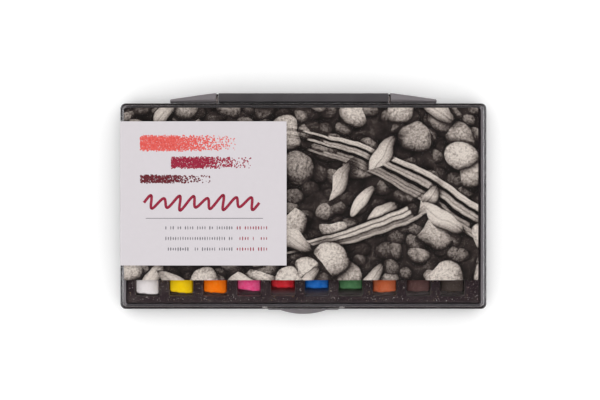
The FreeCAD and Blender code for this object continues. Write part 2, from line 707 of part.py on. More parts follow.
def make_label():
    """The label on the lid, wrapped over its left edge and part of the way down the skirt."""
    body = new_body("label")
    side = new_sketch(body, "LabelSide", "XZ_Plane",
                      height="Layout.back_face - Sizes.label_front - Sizes.label_depth / 2")
    inner = "Sizes.lid_edge + Sizes.label_gap"
    outer = "Sizes.lid_edge + Sizes.label_gap + Sizes.label_thickness"
    centre_x = "Sizes.lid_edge - Sizes.case_width / 2"
    centre_z = "Layout.lid_top - Sizes.lid_edge"
    right = "Sizes.label_width - Sizes.case_width / 2"
    low = "Layout.lid_top - Sizes.label_drop"
    draw_outline(side, [
        (f"{centre_x} - ({inner})", low),
        (f"{centre_x} - ({inner})", centre_z, centre_x, centre_z, -1),
        (centre_x, f"{centre_z} + {inner}"),
        (right, f"{centre_z} + {inner}"),
        (right, f"{centre_z} + {outer}"),
        (centre_x, f"{centre_z} + {outer}", centre_x, centre_z, 1),
        (f"{centre_x} - ({outer})", centre_z),
        (f"{centre_x} - ({outer})", low),
    ])
    pad(body, side, "LabelSheet", "Sizes.label_depth", both_ways=True)
    fillet(body, "LabelCorners", "Sizes.label_corner",
           lambda edge: lies_at(edge, right, "x") and edge.BoundBox.YLength < 0.001)
    return body


# ---------------------------------------------------------------- build and export

def check_document():
    """Stop if any object of the document failed."""
    doc.recompute()
    for item in doc.Objects:
        if "Invalid" in item.State or "Error" in item.State:
            raise RuntimeError(f"{item.Name} failed: {item.State}")


def export_pieces(bodies):
    """Write each piece, once all of them are sound solids."""
    for body in bodies:
        if body.Shape.isNull() or not body.Shape.isValid() or len(body.Shape.Solids) != 1:
            raise RuntimeError(f"{body.Label} is not one sound solid")
    os.makedirs("parts", exist_ok=True)
    for body in bodies:
        body.Shape.exportStep(f"parts/{body.Label}.step")
        print(f"{body.Label}: {body.Shape.Volume / 1000:.2f} cm3")


pieces = [make_base_tray(), make_lid(), make_foam_pad(), make_foam_cradle()]
pieces += [make_stick(number, colour) for number, colour in enumerate(STICKS)]
pieces += [make_picture_card(), make_label()]
check_document()
export_pieces(pieces)
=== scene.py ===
# Hinged stick case: a grey moulded tray with a clear lid, ten pastel sticks bedded in slotted foam,
# a printed picture card under the lid's roof and a paper-white film label round its left edge.
# All lengths are in metres unless a name ends in _MM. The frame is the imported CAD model's.
import math

import bmesh
import bpy
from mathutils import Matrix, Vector, noise


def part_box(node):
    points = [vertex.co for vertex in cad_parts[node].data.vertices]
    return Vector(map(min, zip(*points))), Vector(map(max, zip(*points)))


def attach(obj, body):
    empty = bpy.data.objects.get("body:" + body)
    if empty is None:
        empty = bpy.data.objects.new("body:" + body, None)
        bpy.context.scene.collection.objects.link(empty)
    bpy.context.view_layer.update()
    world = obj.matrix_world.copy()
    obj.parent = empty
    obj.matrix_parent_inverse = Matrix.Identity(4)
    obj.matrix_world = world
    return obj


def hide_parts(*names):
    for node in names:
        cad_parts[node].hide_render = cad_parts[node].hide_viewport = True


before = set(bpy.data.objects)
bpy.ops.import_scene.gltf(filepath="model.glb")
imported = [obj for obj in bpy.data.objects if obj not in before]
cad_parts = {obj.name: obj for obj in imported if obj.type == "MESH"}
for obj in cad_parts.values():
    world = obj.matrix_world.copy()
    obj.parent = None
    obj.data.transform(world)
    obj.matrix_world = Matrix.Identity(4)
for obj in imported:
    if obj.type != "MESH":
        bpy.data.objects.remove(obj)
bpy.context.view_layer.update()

MM = 0.001


# ---------------------------------------------------------------- base tray
# The real tray is one injection moulding in high-impact polystyrene, pigmented dark grey, with its
# hinge block, thumb lip and latch recesses moulded on. The CAD solid has that shape, so it stays.

def linear_colour(code):
    """An sRGB hex colour as linear RGBA."""
    channels = [int(code[i:i + 2], 16) / 255 for i in (1, 3, 5)]
    return tuple(c / 12.92 if c <= 0.04045 else ((c + 0.055) / 1.055) ** 2.4
                 for c in channels) + (1.0,)


def add(tree, kind, inputs=(), **settings):
    """Add a node, apply its settings, then set or link its inputs, which are given by name or in
    order. A kind is a shader node's unless it says otherwise, and a node given as an input is
    linked by its first output."""
    node = tree.nodes.new(kind if "Node" in kind else "ShaderNode" + kind)
    for name, value in settings.items():
        setattr(node, name, value)
    for key, value in (inputs if isinstance(inputs, dict) else dict(enumerate(inputs))).items():
        if isinstance(value, bpy.types.Node):
            value = value.outputs[0]
        if isinstance(value, bpy.types.NodeSocket):
            tree.links.new(value, node.inputs[key])
        else:
            node.inputs[key].default_value = value
    return node


def set_stops(node, *stops, interpolation="LINEAR"):
    """Give a colour ramp its stops, each a position and a hex colour, or a level of light."""
    node.color_ramp.interpolation = interpolation
    elements = node.color_ramp.elements
    while len(elements) < len(stops):
        elements.new(0.5)
    for element, (position, colour) in zip(elements, stops):
        element.position = position
        element.color = (linear_colour(colour) if isinstance(colour, str)
                         else (colour, colour, colour, 1))
    return node


def new_material(name):
    """An empty node material."""
    material = bpy.data.materials.new(name)
    material.use_nodes = True
    material.node_tree.nodes.clear()
    return material, material.node_tree


def dress(node_name, material):
    """Give a carried-over CAD node its finish."""
    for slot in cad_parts[node_name].material_slots:
        slot.link = "OBJECT"
        slot.material = material


TRAY_FRONT, TRAY_BACK = -57.575 * MM, 54.885 * MM
WING_START = 48.0 * MM       # from the middle to each hinge wing
LIP_FOOT, LIP_SIDE = 14.02 * MM, 97.0 * MM       # the locating lip's foot, and its two side runs
MOULD_GRAIN_MM = 0.45        # spark-eroded mould finish, drawn about twice its real size to show


def moulded_grey_polystyrene():
    """Black-grey polystyrene. Most of it is satin, and mirrors a dim ceiling; the thumb lip, the
    hinge wings and the sides of the locating lip have a coarse spark-eroded finish, which scatters
    more light, and they are painted a paler grey, a painted sheen for the light they catch."""
    material, tree = new_material("moulded_grey_polystyrene")
    place = add(tree, "TexCoord").outputs["Object"]
    spot = add(tree, "SeparateXYZ", {0: place}).outputs
    aside = add(tree, "Math", (spot["X"],), operation="ABSOLUTE")
    front = add(tree, "Math", (spot["Y"], TRAY_FRONT), operation="LESS_THAN")
    behind = add(tree, "Math", (spot["Y"], TRAY_BACK), operation="GREATER_THAN")
    raised = add(tree, "Math", (spot["Z"], LIP_FOOT), operation="GREATER_THAN")
    wing = add(tree, "Math", (aside, WING_START), operation="GREATER_THAN")
    wing = add(tree, "Math", (behind, wing), operation="MULTIPLY")
    lip = add(tree, "Math", (aside, LIP_SIDE), operation="GREATER_THAN")
    lip = add(tree, "Math", (raised, lip), operation="MULTIPLY")
    grained_with_painted_sheen = add(tree, "Math", (front, wing), operation="MAXIMUM")
    grained_with_painted_sheen = add(tree, "Math", (grained_with_painted_sheen, lip), operation="MAXIMUM")
    flow = add(tree, "TexNoise", {"Vector": place, "Scale": 1 / (14 * MM), "Detail": 3.0,
                                  "Distortion": 0.8})
    satin = set_stops(add(tree, "ValToRGB", (flow,)), (0.3, "#464245"), (0.75, "#504c4f"))
    # Painted sheen: the grained zones get this paler grey, which stands in for the light they
    # catch.
    rough = set_stops(add(tree, "ValToRGB", (flow,)), (0.3, "#756f72"), (0.75, "#80797d"))
    grain = add(tree, "TexNoise", {"Vector": place, "Scale": 1 / (MOULD_GRAIN_MM * MM),
                                   "Roughness": 0.6})
    sheen = add(tree, "MapRange", (grain, 0.0, 1.0, 0.26, 0.42))
    sheen = add(tree, "Math", (grained_with_painted_sheen, 0.2, sheen), operation="MULTIPLY_ADD")
    bump = add(tree, "Bump", {"Height": grain, "Strength": 0.35, "Distance": 0.05 * MM})
    colour = add(tree, "MixRGB", (grained_with_painted_sheen, satin, rough))
    shader = add(tree, "BsdfPrincipled", {"Base Color": colour, "Roughness": sheen, "IOR": 1.59,
                                          "Normal": bump})
    add(tree, "OutputMaterial", (shader,))
    return material


dress("base_tray", moulded_grey_polystyrene())


# ---------------------------------------------------------------- foam pad and cradle
# Two layers of open-cell polyurethane foam lie loose in the tray: a plain pad, and on it a cradle
# with ten slots cut by a steel-rule die, whose edges are a little torn and wavy.

ROW_MIDDLE = -1.855 * MM     # the row of slots is left of the tray's middle
SLOT_COUNT = 10
SLOT_PITCH = 18.66111 * MM
SLOT_WIDTH = 13.3 * MM
SLOT_FRONT, SLOT_BACK = -50.7 * MM, 42.85 * MM
SLOT_CORNER = 1.0 * MM
SLOT_MIDDLES = [ROW_MIDDLE + (index - (SLOT_COUNT - 1) / 2) * SLOT_PITCH
                for index in range(SLOT_COUNT)]
# the stick in each slot: setback and slant of its broken end in millimetres, pigment, shade of
# its powder
STICKS = {
    "white": (0.0, -0.9, "#efe7e6", "#f9f3f2"),
    "yellow": (0.55, -1.1, "#ffd100", "#ffdb2c"),
    "orange": (0.65, -0.5, "#ff7300", "#ff8b26"),
    "pink": (1.9, -1.2, "#e8407c", "#f077a4"),
    "red": (3.5, -0.5, "#c41a26", "#d8444b"),
    "blue": (3.05, -0.2, "#0d5cb3", "#387ac8"),
    "green": (2.8, 0.2, "#416b46", "#5c865c"),
    "terracotta": (1.05, 0.2, "#b95632", "#c97654"),
    "brown": (1.25, 0.3, "#553c3b", "#684e4a"),
    "black": (1.0, -0.3, "#423833", "#524845"),
}
FOAM_CELL_MM = 0.55          # pore spacing of the foam
FOAM_STEP, FOAM_LAYER = 0.85 * MM, 1.25 * MM     # mesh spacing, across and in height
RIM_LIGHT_FRONT, RIM_LIGHT_BACK = -54.7 * MM, -52.8 * MM     # painted light along the cradle's front edge, for the shade there
PAINTED_LIGHT_FULL, PAINTED_LIGHT_END = 0.5 * MM, 3.2 * MM     # the painted light at a slot's front fades out over this
PALEST_LIGHT_SETBACK = 1.5           # a slot whose stick is set back less than this many millimetres gets the palest painted light


def polyurethane_foam(name, least, most, under_sticks):
    """Open-cell foam: quite matt, dark pores in a net of paler struts, and powder in patches, from
    the least to the most cover. Under the sticks it is full of their own powder, slot by slot, and
    painted pale at the slots' front ends, a painted light in the deep shade there. The cradle is
    painted paler on its cut walls and front edge, a painted light for their shade."""
    material, tree = new_material(name)
    coords = add(tree, "TexCoord").outputs
    place = coords["Object"]
    spot = add(tree, "SeparateXYZ", {0: place}).outputs
    if under_sticks:
        half_row = SLOT_COUNT * SLOT_PITCH / 2
        slot = add(tree, "MapRange", (spot["X"], ROW_MIDDLE - half_row, ROW_MIDDLE + half_row, 0.0,
                                      1.0))
        # Painted light: each slot's front end is painted pale, palest where its stick sits nearest
        # the front, to lift the deep shade in the gap there.
        powder = add(tree, "ValToRGB", (slot,))
        painted_light_colour = add(tree, "ValToRGB", (slot,))
        painted_light_codes = ["#f6e8e8" if stick[0] < PALEST_LIGHT_SETBACK else "#b3a4a7" for stick in STICKS.values()]
        for node, codes in ((powder, [stick[3] for stick in STICKS.values()]), (painted_light_colour, painted_light_codes)):
            set_stops(node, *((index / SLOT_COUNT, code) for index, code in enumerate(codes)),
                      interpolation="CONSTANT")
        # the painted light fades out behind each slot's front
        painted_light_mask = add(tree, "MapRange", (spot["Y"], SLOT_FRONT + PAINTED_LIGHT_FULL, SLOT_FRONT + PAINTED_LIGHT_END,
                                       1.0, 0.0))
    else:
        # Painted light: the cradle's cut walls and a strip along its front edge get a paler powder
        # colour, to lift the shade there.
        powder, painted_light_colour = linear_colour("#8c817c"), linear_colour("#b5aaa6")
        facing = add(tree, "SeparateXYZ", {0: coords["Normal"]}).outputs
        painted_wall_light = add(tree, "Math", (facing["Z"],), operation="ABSOLUTE")
        painted_wall_light = add(tree, "MapRange", (painted_wall_light, 0.0, 0.9, 1.0, 0.0))
        # painted light along the front edge
        rim = add(tree, "MapRange", (spot["Y"], RIM_LIGHT_FRONT, RIM_LIGHT_BACK, 0.08, 0.0))
        painted_light_mask = add(tree, "Math", (painted_wall_light, rim), operation="MAXIMUM")
    pores = add(tree, "TexVoronoi", {"Vector": place, "Scale": 1 / (FOAM_CELL_MM * MM)},
                feature="DISTANCE_TO_EDGE")
    strut = set_stops(add(tree, "ValToRGB", (pores,)), (0.0, "#43363a"), (0.35, "#1b1316"))
    dust = add(tree, "TexNoise", {"Vector": place, "Scale": 1 / (9 * MM), "Detail": 5.0,
                                  "Roughness": 0.65})
    dust = add(tree, "MapRange", (dust, 0.48, 0.75, least, most))
    colour = add(tree, "MixRGB", (dust, strut, powder))
    colour = add(tree, "MixRGB", (painted_light_mask, colour, painted_light_colour))
    bump = add(tree, "Bump", {"Height": pores, "Strength": 0.9, "Distance": 0.5 * MM}, invert=True)
    shader = add(tree, "BsdfPrincipled", {"Base Color": colour, "Roughness": 0.95,
                                          "Specular IOR Level": 0.15, "Normal": bump})
    add(tree, "OutputMaterial", (shader,))
    return material


def mesh_piece(name, mesh, material, smooth=True):
    """Make a finished bmesh into a piece of the scene."""
    piece = bpy.data.objects.new(name, bpy.data.meshes.new(name))
    mesh.to_mesh(piece.data)
    mesh.free()
    bpy.context.scene.collection.objects.link(piece)
    piece.data.materials.append(material)
    for face in piece.data.polygons:
        face.use_smooth = smooth
    return piece


def lines_between(edges, step):
    """Grid lines through all the edges, with even steps between them."""
    lines = [edges[0]]
    for start, end in zip(edges, edges[1:]):
        count = max(1, round((end - start) / step))
        lines += [start + (end - start) * (i + 1) / count for i in range(count)]
    return lines


def foam_sheet(name, low, high, slotted, material):
    """A closed foam sheet between two corners, with the stick slots cut through it or not."""
    slots = [(middle - SLOT_WIDTH / 2, middle + SLOT_WIDTH / 2)
             for middle in SLOT_MIDDLES if slotted]
    xs = lines_between([low.x, *[x for slot in slots for x in slot], high.x], FOAM_STEP)
    ys = lines_between([low.y, SLOT_FRONT, SLOT_BACK, high.y], FOAM_STEP)
    zs = lines_between([low.z, high.z], FOAM_LAYER)
    mesh = bmesh.new()
    vertices = {}

    def vertex(i, j, k):
        """The vertex at one crossing of the grid lines, made when first asked for."""
        if (i, j, k) not in vertices:
            x, y = xs[i], ys[j]
            for left, right in slots:      # round each slot's corners
                if x in (left, right) and y in (SLOT_FRONT, SLOT_BACK):
                    x += 0.29 * SLOT_CORNER * (1 if x == left else -1)
                    y += 0.29 * SLOT_CORNER * (1 if y == SLOT_FRONT else -1)
            vertices[i, j, k] = mesh.verts.new((x, y, zs[k]))
        return vertices[i, j, k]

    def solid(i, j):
        """Whether one cell of the grid holds foam."""
        if not (0 <= i < len(xs) - 1 and 0 <= j < len(ys) - 1):
            return False
        x, y = (xs[i] + xs[i + 1]) / 2, (ys[j] + ys[j + 1]) / 2
        return not (SLOT_FRONT < y < SLOT_BACK and any(a < x < b for a, b in slots))

    top = len(zs) - 1
    for i in range(len(xs) - 1):
        for j in range(len(ys) - 1):
            if not solid(i, j):
                continue
            mesh.faces.new([vertex(*c, top) for c in ((i, j), (i + 1, j), (i + 1, j + 1),
                                                      (i, j + 1))])
            mesh.faces.new([vertex(*c, 0) for c in ((i, j + 1), (i + 1, j + 1), (i + 1, j),
                                                    (i, j))])
            for beyond, start, end in (((i, j - 1), (i, j), (i + 1, j)),
                                       ((i + 1, j), (i + 1, j), (i + 1, j + 1)),
                                       ((i, j + 1), (i + 1, j + 1), (i, j + 1)),
                                       ((i - 1, j), (i, j + 1), (i, j))):
                if not solid(*beyond):
                    for k in range(top):
                        mesh.faces.new([vertex(*start, k), vertex(*end, k), vertex(*end, k + 1),
                                        vertex(*start, k + 1)])
    mesh.normal_update()
    for v in mesh.verts:                    # cut faces are wavy, and edges slump inwards
        rough = noise.noise(v.co / (2.3 * MM)) * 0.12 + noise.noise(v.co / (0.9 * MM)) * 0.08
        inset = 0.04 + abs(rough)
        v.co -= v.normal * inset * MM
    return mesh_piece(name, mesh, material)


cut_foam = polyurethane_foam("cut_polyurethane_foam", 0.0, 0.18, False)
dusty_foam = polyurethane_foam("dusty_polyurethane_foam", 0.5, 0.8, True)
for node_name, slotted, foam in (("foam_pad", False, dusty_foam), ("foam_cradle", True, cut_foam)):
    low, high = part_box(node_name)
    sheet = foam_sheet(node_name + "_sheet", Vector(low), Vector(high), slotted, foam)
    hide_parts(node_name)
    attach(sheet, "base")


# ---------------------------------------------------------------- pastel sticks
# Round sticks of pigment, chalk and a little gum, extruded and dried. The back end is cut clean;
# the front end is snapped off, ragged, and powdery where it broke.

STICK_RADIUS = 6.5 * MM
STICK_LENGTH = 88.95 * MM
STICK_HEIGHT = 11.25 * MM    # of its axis
FIRST_FRONT = -50.2 * MM     # the front end of a stick with no setback
SKIN = 0.03 * MM             # how far the stick stays inside its nominal radius
BREAK_DEPTH_MM = 0.9         # how far a break lies behind its front plane, on average
WORN_EDGE_MM, CUT_EDGE_MM = 0.7, 0.5     # how far each end's edge is rounded off along the stick
CHALK_GRAIN_MM = 0.5         # clots of pigment powder, drawn coarse enough to show


def pressed_chalk(name, pigment, powder):
    """Dry pressed pigment: quite matt, with lighter powder rubbed onto the high spots, a fine tooth
    and scattered pinholes."""
    material, tree = new_material("pressed_chalk_" + name)
    place = add(tree, "TexCoord").outputs["Object"]
    rub = add(tree, "TexNoise", {"Vector": place, "Scale": 1 / (2.6 * MM), "Detail": 6.0,
                                 "Roughness": 0.7})
    tooth = add(tree, "TexNoise", {"Vector": place, "Scale": 1 / (CHALK_GRAIN_MM * MM),
                                   "Detail": 4.0, "Roughness": 0.75})
    bump = add(tree, "Bump", {"Height": tooth, "Strength": 0.7, "Distance": 0.25 * MM})
    colour = set_stops(add(tree, "ValToRGB", (rub,)), (0.35, pigment), (0.78, powder))
    shader = add(tree, "BsdfPrincipled", {"Base Color": colour, "Roughness": 0.95,
                                          "Specular IOR Level": 0.05, "Normal": bump})
    add(tree, "OutputMaterial", (shader,))
    return material


def chalk_stick(name, centre_x, front, slant, seed, material):
    """One closed stick: rings along Y, the first ones a ragged break, the last a clean cut."""
    shift = Vector((seed * 7.3, seed * 3.1, seed * 5.7))
    around, rings = 72, 110
    mesh = bmesh.new()
    back = front + STICK_LENGTH
    rows = []

    def ragged(x, z):
        """How far the break lies behind the front plane at one point of the section."""
        spot = Vector((x, z, 0)) / MM
        deep = BREAK_DEPTH_MM + slant / 2 * x / STICK_RADIUS
        deep += 0.5 * noise.noise(spot / 3.1 + shift) + 0.55 * noise.noise(spot / 0.95 + shift)
        return max(0.0, deep) * MM

    for ring in range(rings + 1):
        along = ring / rings
        row = []
        for step in range(around):
            angle = 2 * math.pi * step / around
            radius = STICK_RADIUS - SKIN
            spot = Vector((math.cos(angle) * 2, along * 40, math.sin(angle) * 2))
            radius -= 0.10 * MM * abs(noise.noise(spot + shift))
            radius -= 0.16 * MM * max(0.0, noise.noise(spot * 2.7 + shift)) ** 2
            x, z = radius * math.cos(angle), radius * math.sin(angle)
            start = front + ragged(x, z)
            y = start + (back - start) * along
            worn = max(0.0, WORN_EDGE_MM - (y - start) / MM) / WORN_EDGE_MM
            cut = max(0.0, 1 - (back - y) / (CUT_EDGE_MM * MM))
            trim = 1 - 0.085 * worn ** 2 - 0.05 * cut ** 2
            row.append(mesh.verts.new((centre_x + x * trim, y, STICK_HEIGHT + z * trim)))
        rows.append(row)
    for lower, upper in zip(rows, rows[1:]):
        for step in range(around):
            after = (step + 1) % around
            mesh.faces.new((lower[step], upper[step], upper[after], lower[after]))
    for row, broken in ((rows[0], True), (rows[-1], False)):
        outer = row
        for ratio in (0.86, 0.7, 0.52, 0.34, 0.16):
            inner = []
            for v in row:
                x, z = (v.co.x - centre_x) * ratio, (v.co.z - STICK_HEIGHT) * ratio
                y = front + ragged(x, z) - 0.25 * MM * (1 - ratio) if broken else back
                y = max(y, front) if broken else back - 0.02 * MM * abs(noise.noise(
                    Vector((x, z, 0)) / MM + shift))
                inner.append(mesh.verts.new((centre_x + x, y, STICK_HEIGHT + z)))
            for step in range(around):
                after = (step + 1) % around
                corners = (outer[step], outer[after], inner[after], inner[step])
                mesh.faces.new(corners if broken else corners[::-1])
            outer = inner
        pole = mesh.verts.new((centre_x, front + ragged(0, 0) if broken else back - 0.01 * MM,
                               STICK_HEIGHT))
        for step in range(around):
            corners = (outer[step], outer[(step + 1) % around], pole)
            mesh.faces.new(corners if broken else corners[::-1])
    return mesh_piece(name, mesh, material)


for index, (colour_name, (setback, slant, pigment, powder)) in enumerate(STICKS.items()):
    node_name = "pastel_" + colour_name
    stick = chalk_stick("chalk_" + colour_name, SLOT_MIDDLES[index], FIRST_FRONT + setback * MM,
                        slant, index, pressed_chalk(colour_name, pigment, powder))
    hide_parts(node_name)
    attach(stick, "stick_" + colour_name)


# ---------------------------------------------------------------- chalk dust
# Chips of pigment and chalk that broke off the sticks. They lie loose on the foam, in front of the
# slots and on the webs between them.

def geometry_tree(name, **inputs):
    """A geometry node tree with named inputs of the given types, and its group input node."""
    tree = bpy.data.node_groups.new(name, "GeometryNodeTree")
    tree.interface.new_socket("Geometry", in_out="INPUT", socket_type="NodeSocketGeometry")
    for title, kind in inputs.items():
        tree.interface.new_socket(title.replace("_", " "), in_out="INPUT",
                                  socket_type="NodeSocket" + kind)
    tree.interface.new_socket("Geometry", in_out="OUTPUT", socket_type="NodeSocketGeometry")
    return tree, add(tree, "NodeGroupInput").outputs


def close_tree(tree, geometry, finish):
    """End a tree: instances made real, one material, then the output."""
    real = add(tree, "GeometryNodeRealizeInstances", {"Geometry": geometry})
    dressed = add(tree, "GeometryNodeSetMaterial", {"Geometry": real, "Material": finish})
    add(tree, "NodeGroupOutput", {"Geometry": dressed})


def grow(name, tree, values, corners=(), faces=()):
    """Run a tree with its input values, on a few faces where it needs them, and return the
    result as a plain mesh piece."""
    start = bpy.data.meshes.new(name + "_start")
    start.from_pydata(list(corners), [], list(faces))
    piece = bpy.data.objects.new(name, start)
    bpy.context.scene.collection.objects.link(piece)
    modifier = piece.modifiers.new("grow", "NODES")
    modifier.node_group = tree
    for item in tree.interface.items_tree:
        if item.in_out == "INPUT" and item.name in values:
            modifier[item.identifier] = values[item.name]
    ready = piece.evaluated_get(bpy.context.evaluated_depsgraph_get())
    mesh = bpy.data.meshes.new_from_object(ready)
    piece.modifiers.clear()
    piece.data = mesh
    return piece


def chip_tree():
    """Scatters small flattened chips at random over the faces it is given."""
    tree, given = geometry_tree("scattered_chips", Per_square_metre="Float", Smallest="Float",
                                Largest="Float", Seed="Int", Finish="Material")
    points = add(tree, "GeometryNodeDistributePointsOnFaces", {
        "Mesh": given["Geometry"], "Density": given["Per square metre"], "Seed": given["Seed"]})
    chip = add(tree, "GeometryNodeMeshIcoSphere", {"Radius": 1.0, "Subdivisions": 1})
    size = add(tree, "FunctionNodeRandomValue", {"Min": 0.0, "Max": 1.0, "Seed": 3})
    size = add(tree, "Math", (size.outputs[1], 3.0), operation="POWER")
    size = add(tree, "MapRange", (size, 0.0, 1.0, given["Smallest"], given["Largest"]))
    shape = add(tree, "FunctionNodeRandomValue", {0: (0.6, 0.6, 0.4), 1: (1.3, 1.0, 0.7)},
                data_type="FLOAT_VECTOR")
    shape = add(tree, "VectorMath", {0: shape, "Scale": size}, operation="SCALE")
    turn = add(tree, "FunctionNodeRandomValue", {0: (0, 0, 0), 1: (0.5, 0.5, 6.28)},
               data_type="FLOAT_VECTOR")
    chips = add(tree, "GeometryNodeInstanceOnPoints", {"Points": points, "Instance": chip,
                                                       "Rotation": turn, "Scale": shape})
    close_tree(tree, chips, given["Finish"])
    return tree


def chalk_dust():
    """Powdery chips: mostly off-white, some tinted by the stick they came from."""
    material, tree = new_material("chalk_dust")
    place = add(tree, "TexCoord").outputs["Object"]
    cell = add(tree, "VectorMath", (place, (1.2 * MM,) * 3), operation="SNAP")
    tint = add(tree, "TexWhiteNoise", {"Vector": cell})
    colour = add(tree, "ValToRGB", (tint,))
    set_stops(colour, (0.0, "#c6bfba"), (0.45, "#8a807b"), (0.6, "#a8906f"), (0.7, "#8d8078"),
              (0.85, "#8f6a70"), (0.95, "#e4dfda"))
    shader = add(tree, "BsdfPrincipled", {"Base Color": colour, "Roughness": 1.0,
                                          "Specular IOR Level": 0.1})
    add(tree, "OutputMaterial", (shader,))
    return material


CHIP_MARGIN = 0.4 * MM       # from a slot's edge to the nearest chip
CHIP_BAND = 30 * MM          # how far back the webs have chips
foam_low, foam_high = (Vector(c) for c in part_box("foam_cradle"))
corners, faces = [], []              # the foam in front of the slots, and the webs between them
edges = [foam_low.x + MM]
for middle in SLOT_MIDDLES:
    edges += [middle - SLOT_WIDTH / 2 - CHIP_MARGIN, middle + SLOT_WIDTH / 2 + CHIP_MARGIN]
edges.append(foam_high.x - MM)
strips = [(edges[0], edges[-1], foam_low.y + MM, SLOT_FRONT - CHIP_MARGIN)]
strips += [(a, b, SLOT_FRONT, SLOT_FRONT + CHIP_BAND) for a, b in zip(edges[::2], edges[1::2])]
for left, right, near, far in strips:
    count = len(corners)
    height = foam_high.z - 0.1 * MM
    corners += [(left, near, height), (right, near, height), (right, far, height),
                (left, far, height)]
    faces.append(tuple(range(count, count + 4)))
dust = grow("chalk_dust", chip_tree(), {
    "Per square metre": 750000.0, "Smallest": 0.08 * MM, "Largest": 0.4 * MM, "Seed": 11,
    "Finish": chalk_dust()}, corners, faces)
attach(dust, "base")


# ---------------------------------------------------------------- lid
# The lid is one injection moulding in clear polystyrene, with its hinge ears and latch tabs
# moulded on. It is polished, so it shows only as highlights, edge lines and a faint veil; the
# front and back of its skirt are tinted darker, a painted shade.

LID_OFFSET = 1.35 * MM       # the lid's middle lies this far in front of the frame's
SHADED_SKIRT_INSIDE, SHADED_SKIRT_TOP = 54.95 * MM, 20.3 * MM     # bounds of the painted shade on the skirt's front and back


def clear_polystyrene():
    """Clear, polished polystyrene. Lamps shine straight through it onto what lies inside. The lower
    front and back of the skirt are tinted darker, a painted shade.
    """
    material, tree = new_material("clear_polystyrene")
    rays = add(tree, "LightPath").outputs
    place = add(tree, "TexCoord").outputs["Object"]
    spot = add(tree, "SeparateXYZ", {0: place}).outputs
    across = add(tree, "Math", (spot["Y"], LID_OFFSET), operation="ADD")
    across = add(tree, "Math", (across,), operation="ABSOLUTE")
    # Painted shade: the skirt's lower front and back get a darker tint.
    outer = add(tree, "Math", (across, SHADED_SKIRT_INSIDE), operation="GREATER_THAN")
    below = add(tree, "Math", (spot["Z"], SHADED_SKIRT_TOP), operation="LESS_THAN")
    painted_shade = add(tree, "Math", (outer, below), operation="MULTIPLY")
    tint_with_painted_shade = add(tree, "MixRGB", (painted_shade, linear_colour("#fbfbfc"), linear_colour("#8a7f7d")))
    shader = add(tree, "BsdfPrincipled", {"Base Color": tint_with_painted_shade, "Roughness": 0.03, "IOR": 1.59,
                                          "Transmission Weight": 1.0})
    open_path = add(tree, "BsdfTransparent").outputs["BSDF"]
    for ray in ("Is Diffuse Ray", "Is Shadow Ray"):
        shader = add(tree, "MixShader", {0: rays[ray], 1: shader, 2: open_path})
    add(tree, "OutputMaterial", (shader,))
    return material


dress("lid", clear_polystyrene())


# ---------------------------------------------------------------- picture card
# A card of white board, offset printed on top with a warm black-and-white still life of pebbles,
# leaves and reeds, and held under the lid's roof by four dabs of adhesive.

